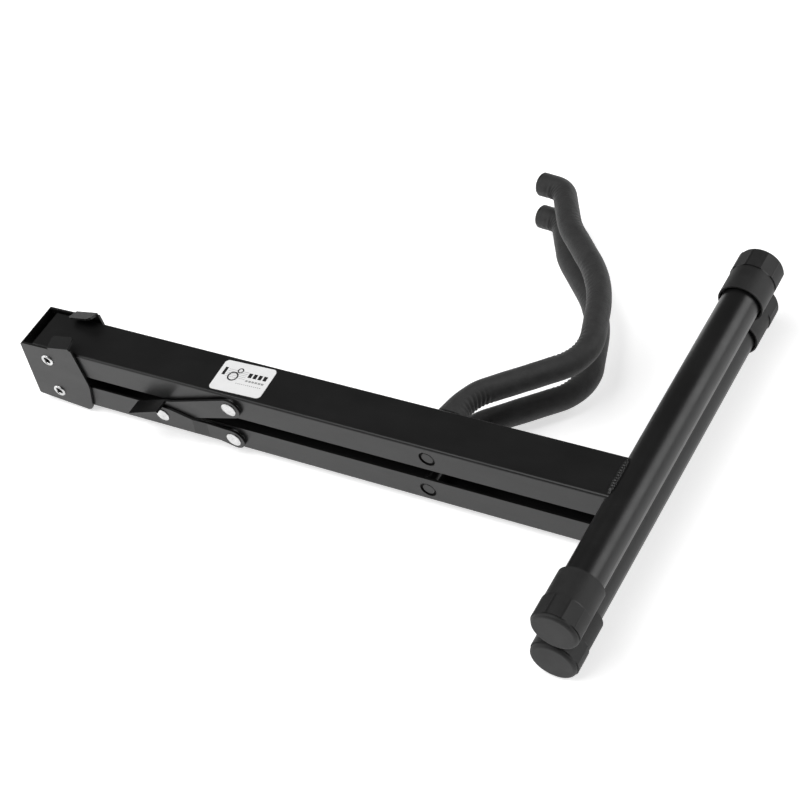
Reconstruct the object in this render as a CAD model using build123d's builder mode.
from build123d import *
from math import acos, atan2, cos, degrees, hypot, pi, radians, sin, sqrt, tan
import os

# A folding A-frame guitar stand, folded flat and lying on one leg.
# +X runs from the hinge to the feet, +Y from the back to the padded arms, +Z up.
# Two identical legs lie one above the other: the right leg is on top.

# Driving dimensions, millimetres
leg_width = 32.0            # outside width of the leg's channel, along Y
leg_depth = 20.6            # outside depth of the channel, along Z
leg_wall = 1.5
leg_corner = 1.7            # outside radius of the channel's long edges
leg_end_corner = 5.0        # the flanges' corners at the hinge, so that the leg can swing
web_height = 10.2           # from the leg's axis to the outside of its web
leg_tail = 11.0             # leg beyond its hinge
leg_length = 430.0          # hinge to the axis of the foot tube, on the right leg
hinge_slip = 3.6            # the left leg's hinge hole is this much nearer to its feet

hinge_pitch = 31.4          # between the two hinge pins
fold_tilt = 6.0             # the bracket leans by this much when the stand is folded
spread_angle = 17.0         # each leg leaves the bracket's middle line by this much when open

foot_tube_d = 25.0
foot_tube_wall = 1.5
foot_rear = 106.5           # from the leg's middle to the end of the rear cap
foot_front = 194.5          # from the leg's middle to the end of the front cap
cap_d = 30.8
cap_collar_d = 29.6
cap_length = 36.0
cap_grip_end = 16.0         # the panelled grip ends this far from the closed end
cap_disc = 2.6              # height of the end disc
cap_step = 0.6              # the end disc and the sunk panels lie this far below the grip
cap_round = 2.2
cap_end_wall = 5.0
cap_panels = 5              # sunk panels, with a raised one between each two
cap_panel_width = 9.4
cap_turn = 24.0             # turns the pattern about the tube's axis
cap_lip_gap = 1.3           # the mouth stands clear of the tube
cap_lip_depth = 3.0

arm_station = 299.0         # hinge to the arm's rod
arm_rod_d = 9.5
arm_hole_d = 11.4           # clearance hole in the rear flange
arm_bends = (30.0, 30.0, 100.0, 60.0, 14.0)    # bend radii of the rod's middle line
foam_d = 16.6
plug_length = 5.0

bracket_wall = 1.6
bracket_side_gap = 0.35     # between the leg's flange and the bracket's side plate
bracket_back = 20.6         # hinge line to the outside of the end web
bracket_reach = 25.0        # hinge line to the open edge
bracket_head = 24.8         # hinge middle to the upper corner of the end web
bracket_foot = 26.6         # hinge middle to the straight lower edge
bracket_bulge = 5.2         # the open edge bows out by this much in the middle
corner_round = 6.0
web_round = 1.4
stop_gap = 0.3              # left between the open right leg and its tabs
tab_start = 4.5
tab_end = 23.5
tab_depth = 7.5
tab_rise = 20.0             # the tabs are bent short of square by this angle
tab_round = 2.5

pin_d = 7.0
pin_ring_d = 9.2
pin_bore_d = 5.2
pin_bore_depth = 9.0
pin_head_d = 11.0
spreader_station = 152.3    # hinge to the spreader's rivets
link_wall = 1.6
link_gap = 0.35             # free space between parts of the spreader that slide past each other
elbow_share = 0.543         # the upper link's share of the straight spreader
link_end_r = 8.0
link_waist = 6.0
elbow_r = 8.5
step_start = 20.0           # the lower link steps outwards between these two stations
step_end = 30.0
tab_before = 9.0            # thumb tab, from the elbow towards the rivet
tab_after = 20.0            # and from the elbow towards the free end
thumb_tab = 10.0            # how far it stands out
washer_d = 13.0
washer_wall = 1.0
rivet_d = 5.0
rivet_head_d = 10.6
rivet_head_h = 1.7
rivet_rim = 0.5
rivet_back_d = 8.2
rivet_back_wall = 1.2
elbow_back_wall = 0.6
elbow_head_d = 10.0
weld_length = 26.0
weld_r = 2.4
fit = 0.05                  # radial play of a pin in its hole

label_length = 39.5
label_width = 25.4
label_station = 155.2
label_turn = 2.0            # stuck on slightly askew
label_corner = 3.0
label_wall = 0.3

# Worked out from them
lean = radians(fold_tilt)
spread = radians(spread_angle)
half_pitch = hinge_pitch / 2
axis_rise = half_pitch * cos(lean)
axis_shift = half_pitch * sin(lean)
side_inner = leg_width / 2 + bracket_side_gap
side_outer = side_inner + bracket_wall
cap_r = cap_d / 2
tube_r = foot_tube_d / 2

# The spreader's two links are straight and in line when the stand is open
open_back = hinge_slip * cos(spread)
open_drop = hinge_pitch + (2 * spreader_station - hinge_slip) * sin(spread)
open_slant = atan2(open_back, open_drop)
spreader_straight = hypot(open_back, open_drop)
upper_link = spreader_straight * elbow_share
lower_link = spreader_straight - upper_link
tab_inside = elbow_r + stop_gap

# The bracket's flared upper edge and its tabs lie along the open right leg's web
flare_root = half_pitch + (web_height + stop_gap) / cos(spread)
flare_start = flare_root + tab_start * tan(spread)
flare_end = flare_root + bracket_reach * tan(spread)

# The arm's rod, in the leg's own middle plane: across the leg, down and out, then back up and in
arm_path = [
    (arm_station, -leg_width / 2 + 0.5),
    (arm_station, 37.5),
    (arm_station + 59.8, 89.3),
    (arm_station + 39.5, 151.8),
    (arm_station - 4.7, 194.5),
    (arm_station - 25.0, 226.9),
    (arm_station - 43.0, 229.0),
]
arm_tip = arm_path[-1]
hook_angle = atan2(arm_tip[1] - arm_path[-2][1], arm_tip[0] - arm_path[-2][0])

# Row frame: the middle of the footprint, at the height of the lowest point
end_lean = 1 - sin(lean)
low_x = -bracket_back * cos(lean) - bracket_foot * sin(lean) + web_round * end_lean
high_x = axis_shift + leg_length + cap_r
low_y = -foot_rear
high_y = arm_tip[1] + foam_d / 2 * abs(cos(hook_angle))
middle_x = -(low_x + high_x) / 2
middle_y = -(low_y + high_y) / 2
axis_height = axis_rise + cap_r

right_leg = Plane(origin=(middle_x + axis_shift, middle_y, axis_height + axis_rise))
left_leg = Plane(origin=(middle_x - axis_shift - hinge_slip, middle_y, axis_height - axis_rise))
bracket = Plane(
    origin=(middle_x, middle_y, axis_height),
    x_dir=(cos(lean), 0, -sin(lean)),
    z_dir=(sin(lean), 0, cos(lean)),
)

os.makedirs("parts", exist_ok=True)
finished = []


def save(part, name):
    part.label = name
    export_step(part, f"parts/{name}.step")
    finished.append(part)


def along_y(leg_x, y, height=0.0):
    """A plane in the leg's own frame whose normal runs along +Y."""
    return Plane(origin=(leg_x, y, height), x_dir=(1, 0, 0), z_dir=(0, 1, 0))


def build_channel(pin_station):
    """Web outwards, open towards the other leg, coped round the foot tube."""
    tail = Plane.YZ.offset(pin_station - leg_tail)
    run = leg_length + leg_tail - pin_station
    with BuildPart() as channel:
        with BuildSketch(tail):
            with Locations((0, web_height - leg_depth / 2)):
                Rectangle(leg_width, leg_depth)
        extrude(amount=run)
        fillet(channel.edges().filter_by(Axis.X).group_by(Axis.Z)[-1], leg_corner)
        with BuildSketch(tail):
            with Locations((0, web_height - leg_wall - leg_depth / 2)):
                Rectangle(leg_width - 2 * leg_wall, leg_depth)
        extrude(amount=run, mode=Mode.SUBTRACT)
        tail_edges = channel.edges().filter_by(Axis.Y).group_by(Axis.X)[0].group_by(Axis.Z)[0]
        fillet(tail_edges, leg_end_corner)
        # right through: the foot tube's cope and the hinge hole
        for station, radius in ((leg_length, tube_r), (pin_station, pin_d / 2 + fit)):
            with BuildSketch(along_y(station, -leg_width)):
                Circle(radius)
            extrude(amount=2 * leg_width, mode=Mode.SUBTRACT)
        # rear flange: the spreader's rivet and the arm's clearance hole
        for station, radius in ((spreader_station, rivet_d / 2), (arm_station, arm_hole_d / 2)):
            with BuildSketch(along_y(station, -leg_width)):
                Circle(radius)
            extrude(amount=leg_width, mode=Mode.SUBTRACT)
        with BuildSketch(along_y(arm_station, 0)):
            Circle(arm_rod_d / 2)
        extrude(amount=leg_width, mode=Mode.SUBTRACT)
    return channel


# The foot tube crosses the end of the leg
with BuildPart() as foot_tube:
    with BuildSketch(along_y(leg_length, -foot_rear + cap_end_wall)):
        Circle(tube_r)
        Circle(tube_r - foot_tube_wall, mode=Mode.SUBTRACT)
    extrude(amount=foot_rear + foot_front - 2 * cap_end_wall)

# Weld bead where the web meets the tube
weld_x = leg_length - sqrt(tube_r**2 - web_height**2)
with BuildPart() as foot_weld:
    with BuildSketch(along_y(weld_x - weld_r / 4, -weld_length / 2, web_height)):
        Circle(weld_r)
    extrude(amount=weld_length)
    fillet(foot_weld.edges().filter_by(GeomType.CIRCLE), weld_r * 2 / 3)
    with BuildSketch(along_y(leg_length, -leg_width)):
        Circle(tube_r)
    extrude(amount=2 * leg_width, mode=Mode.SUBTRACT)
    with BuildSketch(along_y(weld_x, -leg_width, web_height)):
        Rectangle(leg_width, leg_depth, align=(Align.CENTER, Align.MIN))
    extrude(amount=2 * leg_width, mode=Mode.SUBTRACT)


def build_cap(end_y, inward):
    """Rubber cap: smooth collar, panelled grip, rounded end disc. inward is +1 or -1 along Y."""
    axis_x = leg_length
    grip_start = end_y + inward * cap_disc
    grip_end = end_y + inward * cap_grip_end
    mouth = end_y + inward * cap_length
    with BuildPart() as cap:
        with BuildSketch(Plane.XY):
            with BuildLine():
                Polyline(
                    (axis_x, mouth),
                    (axis_x + cap_collar_d / 2, mouth),
                    (axis_x + cap_collar_d / 2, grip_end),
                    (axis_x + cap_r, grip_end),
                    (axis_x + cap_r, grip_start),
                    (axis_x + cap_r - cap_step, grip_start),
                    (axis_x + cap_r - cap_step, end_y + inward * cap_round),
                )
                RadiusArc(
                    (axis_x + cap_r - cap_step, end_y + inward * cap_round),
                    (axis_x + cap_r - cap_step - cap_round, end_y),
                    inward * cap_round,
                )
                Polyline(
                    (axis_x + cap_r - cap_step - cap_round, end_y),
                    (axis_x, end_y),
                    (axis_x, mouth),
                )
            make_face()
        revolve(axis=Axis((axis_x, 0, 0), (0, 1, 0)))
        with BuildSketch(along_y(axis_x, end_y + inward * cap_end_wall)):
            Circle(tube_r)
        extrude(amount=inward * cap_length, mode=Mode.SUBTRACT)
        with BuildSketch(along_y(axis_x, mouth)):
            Circle(tube_r + cap_lip_gap)
        extrude(amount=-inward * cap_lip_depth, mode=Mode.SUBTRACT)
        # every other panel of the grip is sunk
        with BuildSketch(along_y(axis_x, grip_start)):
            with PolarLocations(cap_r, cap_panels, start_angle=cap_turn):
                Rectangle(2 * cap_step, cap_panel_width)
        extrude(amount=inward * (cap_grip_end - cap_disc), mode=Mode.SUBTRACT)
    return cap


# The arm: a bent rod through both flanges, held by a welded collar inside the rear one
foam_start = leg_width / 2 + 1.0
with BuildPart() as arm_rod:
    with BuildLine():
        FilletPolyline(*arm_path, radius=arm_bends)
    with BuildSketch(along_y(arm_station, arm_path[0][1])):
        Circle(arm_rod_d / 2)
    sweep()
    back_to_plug = Plane(
        origin=(*arm_tip, 0),
        x_dir=(0, 0, 1),
        z_dir=(-cos(hook_angle), -sin(hook_angle), 0),
    )
    with BuildSketch(back_to_plug):
        Circle(foam_d)
    extrude(amount=plug_length, mode=Mode.SUBTRACT)
    chamfer(arm_rod.edges().filter_by(GeomType.CIRCLE).sort_by(Axis.Y)[0], 0.8)

with BuildPart() as arm_collar:
    with BuildSketch(along_y(arm_station, -leg_width / 2 + leg_wall)):
        Circle(arm_hole_d / 2 + 1.0)
        Circle(arm_rod_d / 2, mode=Mode.SUBTRACT)
    extrude(amount=4.0)

with BuildPart() as arm_foam:
    with BuildLine():
        FilletPolyline(*arm_path, radius=arm_bends)
    with BuildSketch(along_y(arm_station, arm_path[0][1])):
        Circle(foam_d / 2)
        Circle(arm_rod_d / 2, mode=Mode.SUBTRACT)
    sweep()
    with BuildSketch(along_y(arm_station, -leg_width)):
        Circle(foam_d)
    extrude(amount=leg_width + foam_start, mode=Mode.SUBTRACT)

with BuildPart() as arm_plug:
    with BuildSketch(back_to_plug.offset(0.4)):
        Circle(arm_rod_d / 2)
    extrude(amount=plug_length - 0.4)

# Domed rivet that carries a spreader link, with a washer against the flange
washer_face = -leg_width / 2 - washer_wall
link_face = washer_face - link_wall - 2 * fit
with BuildPart() as spreader_washer:
    with BuildSketch(along_y(spreader_station, washer_face)):
        Circle(washer_d / 2)
        Circle(rivet_d / 2, mode=Mode.SUBTRACT)
    extrude(amount=washer_wall)


def build_rivet(station, head_y, tail_y, head_d, back_wall=0.0):
    """Rivet across Y: domed head facing -Y at head_y, shank to tail_y, and a flat back head."""
    rise = rivet_head_h - rivet_rim
    with BuildPart() as rivet:
        with BuildSketch(Plane.XY):
            with BuildLine():
                Polyline(
                    (station, head_y - rivet_head_h),
                    (station, tail_y),
                    (station + rivet_d / 2, tail_y),
                    (station + rivet_d / 2, head_y),
                    (station + head_d / 2, head_y),
                    (station + head_d / 2, head_y - rivet_rim),
                )
                RadiusArc(
                    (station + head_d / 2, head_y - rivet_rim),
                    (station, head_y - rivet_head_h),
                    ((head_d / 2) ** 2 + rise**2) / (2 * rise),
                )
            make_face()
        revolve(axis=Axis((station, 0, 0), (0, 1, 0)))
        if back_wall:
            with BuildSketch(along_y(station, tail_y)):
                Circle(rivet_back_d / 2)
            extrude(amount=back_wall)
    return rivet


# The left rivet is in two halves, one in the leg and one in the link, because the spreader's
# loop is opened there: the two only meet at both ends of the travel
flange_inside = -leg_width / 2 + leg_wall
right_rivet = build_rivet(spreader_station, link_face, flange_inside, rivet_head_d, rivet_back_wall)
left_rivet_head = build_rivet(spreader_station, link_face, link_face + link_wall, rivet_head_d)
with BuildPart() as left_rivet_tail:
    with BuildSketch(along_y(spreader_station, washer_face)):
        Circle(rivet_d / 2)
    extrude(amount=flange_inside - washer_face)
    with BuildSketch(along_y(spreader_station, flange_inside)):
        Circle(rivet_back_d / 2)
    extrude(amount=rivet_back_wall)

# Plain white label on the upper leg's web
with BuildPart() as label:
    with BuildSketch(Plane.XY.offset(web_height)):
        with Locations((label_station, 0)):
            RectangleRounded(label_length, label_width, label_corner, rotation=label_turn)
    extrude(amount=label_wall)

rear_cap = build_cap(-foot_rear, 1)
front_cap = build_cap(foot_front, -1)
leg_pieces = {
    "foot_tube": foot_tube.part,
    "foot_weld": foot_weld.part,
    "foot_cap_rear": rear_cap.part,
    "foot_cap_front": front_cap.part,
    "arm_rod": arm_rod.part,
    "arm_collar": arm_collar.part,
    "arm_foam": arm_foam.part,
    "arm_plug": arm_plug.part,
    "spreader_washer": spreader_washer.part,
}
right_pieces = {
    "leg_channel": build_channel(0).part,
    "spreader_rivet": right_rivet.part,
    **leg_pieces,
}
left_pieces = {
    "leg_channel": build_channel(hinge_slip).part,
    "spreader_rivet_head": left_rivet_head.part,
    "spreader_rivet_tail": left_rivet_tail.part,
    **leg_pieces,
}
for piece_name, piece in right_pieces.items():
    save(piece.moved(right_leg.location), f"right_{piece_name}")
for piece_name, piece in left_pieces.items():
    turned_over = mirror(piece, about=Plane.XY)
    save(turned_over.moved(left_leg.location), f"left_{piece_name}")
save(label.part.moved(right_leg.location), "label")

# Stop tab: bent over the right leg's web from the bracket's near side plate
tab_plane = Plane(
    origin=(tab_start, -side_inner, flare_start),
    x_dir=(0, 1, 0),
    z_dir=(cos(spread), 0, sin(spread)),
)
tab_lift = tab_depth * tan(radians(tab_rise))
with BuildPart() as stop_tab:
    with BuildSketch(tab_plane):
        with BuildLine():
            Polyline(
                (-bracket_wall, 0),
                (0, 0),
                (tab_depth, tab_lift),
                (tab_depth, tab_lift + bracket_wall),
                (-bracket_wall, bracket_wall),
                close=True,
            )
        make_face()
    extrude(amount=(tab_end - tab_start) / cos(spread))
    free_end = stop_tab.faces().sort_by(Axis.Y)[-1]
    fillet(free_end.edges().sort_by(SortBy.LENGTH)[:2], tab_round)

# Hinge bracket: end web, two side plates, and two tabs that stop the open right leg
with BuildPart() as hinge_bracket:
    with BuildSketch(along_y(0, -side_outer)):
        with BuildLine():
            Polyline(
                (-bracket_back, bracket_foot),
                (bracket_reach, bracket_foot),
                (bracket_reach + bracket_bulge, 0),
                (bracket_reach, -flare_end),
                (tab_start, -flare_start),
                (-bracket_back, -bracket_head),
                close=True,
            )
        make_face()
    extrude(amount=2 * side_outer)
    upright_edges = hinge_bracket.edges().filter_by(Axis.Y)
    front_edges = upright_edges.sort_by(Axis.X)[-3:]
    fillet(front_edges.sort_by(Axis.Z)[0], corner_round)
    fillet(front_edges.sort_by(Axis.Z)[1], bracket_reach)
    fillet(upright_edges.sort_by(Axis.X)[:2], web_round)
    with BuildSketch(along_y(0, -side_inner)):
        with Locations((bracket_wall - bracket_back, 0)):
            Rectangle(2 * leg_width, 4 * leg_width, align=(Align.MIN, Align.CENTER))
    extrude(amount=2 * side_inner, mode=Mode.SUBTRACT)
    add(stop_tab.part)
    mirror(stop_tab.part, about=Plane.XZ)
    with BuildSketch(along_y(0, -2 * side_outer)):
        with Locations((0, half_pitch), (0, -half_pitch)):
            Circle(pin_d / 2)
    extrude(amount=4 * side_outer, mode=Mode.SUBTRACT)
save(hinge_bracket.part.moved(bracket.location), "hinge_bracket")

# Semi-tubular hinge pin: rolled ring at the rear, flat domed head at the front
with BuildPart() as hinge_pin:
    with BuildSketch(Plane.XY):
        with BuildLine():
            Polyline(
                (0, side_outer + 1.4),
                (pin_head_d / 2 - 1.0, side_outer + 1.4),
                (pin_head_d / 2, side_outer + 0.6),
                (pin_head_d / 2, side_outer),
                (pin_d / 2, side_outer),
                (pin_d / 2, -side_outer),
                (pin_ring_d / 2, -side_outer),
                (pin_ring_d / 2, -side_outer - 0.5),
            )
            ThreePointArc(
                (pin_ring_d / 2, -side_outer - 0.5),
                ((pin_ring_d + pin_bore_d) / 4 + 0.2, -side_outer - 1.2),
                (pin_bore_d / 2, -side_outer - 0.5),
            )
            Polyline(
                (pin_bore_d / 2, -side_outer - 0.5),
                (pin_bore_d / 2, -side_outer + pin_bore_depth),
                (0, -side_outer + pin_bore_depth),
                (0, side_outer + 1.4),
            )
        make_face()
    revolve(axis=Axis.Y)
for side, name in ((1, "right_hinge_pin"), (-1, "left_hinge_pin")):
    hinge = Location((0, 0, side * half_pitch))
    save(hinge_pin.part.moved(bracket.location * hinge), name)

# The spreader: two flat links on the rear flanges, jointed at an elbow
upper_pivot = right_leg.from_local_coords(Vector(spreader_station, 0, 0))
lower_pivot = left_leg.from_local_coords(Vector(spreader_station, 0, 0))
fold_span = (upper_pivot - lower_pivot).length
fold_heading = atan2(lower_pivot.Z - upper_pivot.Z, lower_pivot.X - upper_pivot.X)


def corner_angle(near, other, far):
    """Angle between the sides near and other of a triangle whose third side is far."""
    return acos((near**2 + other**2 - far**2) / (2 * near * other))


upper_heading = fold_heading - corner_angle(upper_link, fold_span, lower_link)
lower_heading = fold_heading + pi + corner_angle(lower_link, fold_span, upper_link)
upper_plane = Plane(
    origin=upper_pivot, x_dir=(cos(upper_heading), 0, sin(upper_heading)), z_dir=(0, 1, 0)
)
lower_plane = Plane(
    origin=lower_pivot, x_dir=(cos(lower_heading), 0, sin(lower_heading)), z_dir=(0, 1, 0)
)
link_inside = washer_face - fit
link_outside = link_inside - link_wall
second_inside = link_outside - link_gap
second_outside = second_inside - link_wall

# Upper link: its tail runs on past the elbow and carries the thumb tab, which is also the stop
tab_outside = tab_inside + link_wall
with BuildPart() as upper_spreader:
    with BuildSketch(upper_plane.offset(link_outside)):
        with BuildLine():
            Polyline(
                (0, link_end_r),
                (upper_link - tab_before - 6.0, tab_outside - 1.2),
                (upper_link - tab_before, tab_outside),
                (upper_link + tab_after, tab_outside),
                (upper_link + tab_after - 3.0, 0),
                (upper_link + elbow_r, -elbow_r + 2.0),
                (upper_link - 4.0, -elbow_r),
                (upper_link * 0.6, -link_waist),
                (0, -link_end_r),
                close=True,
            )
        make_face()
        Circle(link_end_r)
        Circle(rivet_d / 2 + fit, mode=Mode.SUBTRACT)
        with Locations((upper_link, 0)):
            Circle(rivet_d / 2, mode=Mode.SUBTRACT)
    extrude(amount=link_wall)
    with BuildSketch(upper_plane.offset(link_outside)):
        with Locations((upper_link + (tab_after - tab_before) / 2, tab_inside + link_wall / 2)):
            Rectangle(tab_after + tab_before, link_wall)
    extrude(amount=-thumb_tab)
save(upper_spreader.part, "spreader_upper_link")

# Lower link: stepped outwards so that it passes over the upper one
with BuildPart() as lower_spreader:
    with BuildSketch(lower_plane.offset(second_outside)):
        with BuildLine():
            Polyline(
                (0, link_end_r),
                (step_start, link_waist),
                (lower_link - elbow_r, elbow_r),
                (lower_link, elbow_r),
                (lower_link, -elbow_r),
                (lower_link - elbow_r, -elbow_r),
                (step_start, -link_waist),
                (0, -link_end_r),
                close=True,
            )
        make_face()
        Circle(link_end_r)
        with Locations((lower_link, 0)):
            Circle(elbow_r)
    extrude(amount=link_inside - second_outside)
    with BuildSketch(Plane(lower_plane.origin, lower_plane.x_dir, lower_plane.y_dir)):
        with BuildLine():
            Polyline(
                (-link_end_r, -link_inside),
                (step_start, -link_inside),
                (step_end, -second_inside),
                (lower_link + elbow_r, -second_inside),
                (lower_link + elbow_r, -second_outside),
                (step_end, -second_outside),
                (step_start, -link_outside),
                (-link_end_r, -link_outside),
                close=True,
            )
        make_face()
    extrude(amount=leg_width, both=True, mode=Mode.INTERSECT)
    with BuildSketch(lower_plane.offset(second_outside)):
        Circle(rivet_d / 2)
        with Locations((lower_link, 0)):
            Circle(rivet_d / 2 + fit)
    extrude(amount=leg_width, mode=Mode.SUBTRACT)
save(lower_spreader.part, "spreader_lower_link")

# Elbow rivet: fixed in the upper link, with the lower link turning on it
elbow_rivet = build_rivet(0, second_outside, link_inside, elbow_head_d, elbow_back_wall)
elbow = upper_plane.from_local_coords(Vector(upper_link, 0, 0))
save(elbow_rivet.part.moved(Location((elbow.X, middle_y, elbow.Z))), "elbow_rivet")

print("origin shift", middle_x, middle_y, axis_height)
print("right hinge", middle_x + axis_shift, middle_y, axis_height + axis_rise)
print("left hinge", middle_x - axis_shift, middle_y, axis_height - axis_rise)
print("upper pivot", *upper_pivot)
print("lower pivot", *lower_pivot)
print("elbow", *elbow)
print("bracket turn", fold_tilt + spread_angle, "right leg turn", spread_angle - fold_tilt)
print("upper link turn", -90 - degrees(open_slant) - spread_angle - degrees(upper_heading))
print("elbow turn", degrees(lower_heading - upper_heading) - 180)
print("spreader", upper_link, lower_link)
